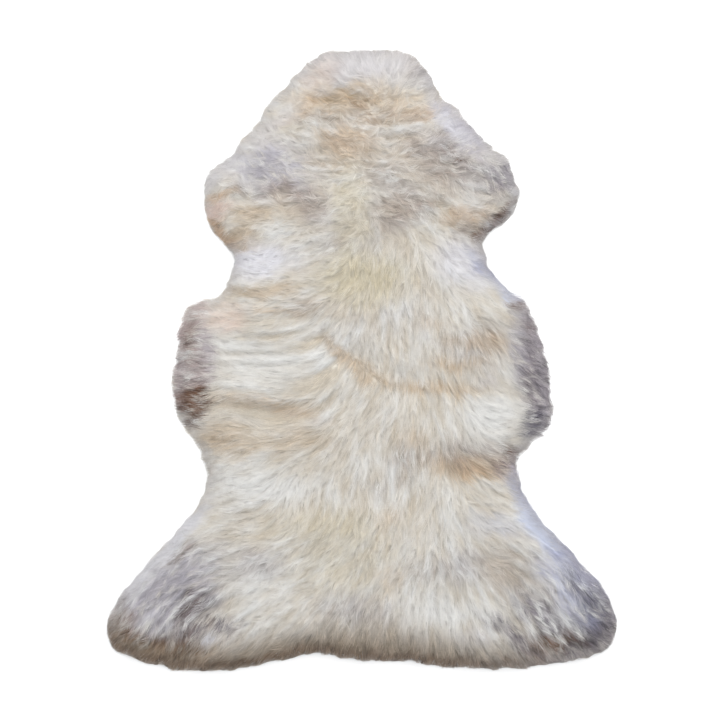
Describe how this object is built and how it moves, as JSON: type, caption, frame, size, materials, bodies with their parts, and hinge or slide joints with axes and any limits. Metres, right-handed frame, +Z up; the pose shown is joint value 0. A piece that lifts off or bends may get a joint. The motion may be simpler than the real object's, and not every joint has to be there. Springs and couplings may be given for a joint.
{
  "type": "sheepskin rug",
  "caption": "Whole sheepskin laid flat as a rug: thick lumpy wool on a thin tanned hide, with a narrow neck end, shoulder and flank flaps, and wide hind legs.",
  "frame": {"origin": "centre of the rug's box, on the floor it lies on", "axes": "+Y towards the neck end, +X to the right seen from above, +Z up out of the wool"},
  "size_m": [0.8216, 0.9984, 0.055],
  "materials": {
    "wool": "long undyed sheep's wool, cream with taupe and grey shading, soft and matt",
    "suede": "tanned flesh side of the hide, buffed to a suede nap"
  },
  "bodies": {
    "root": {"fleece": "wool", "hide": "suede"}
  },
  "joints": []
}
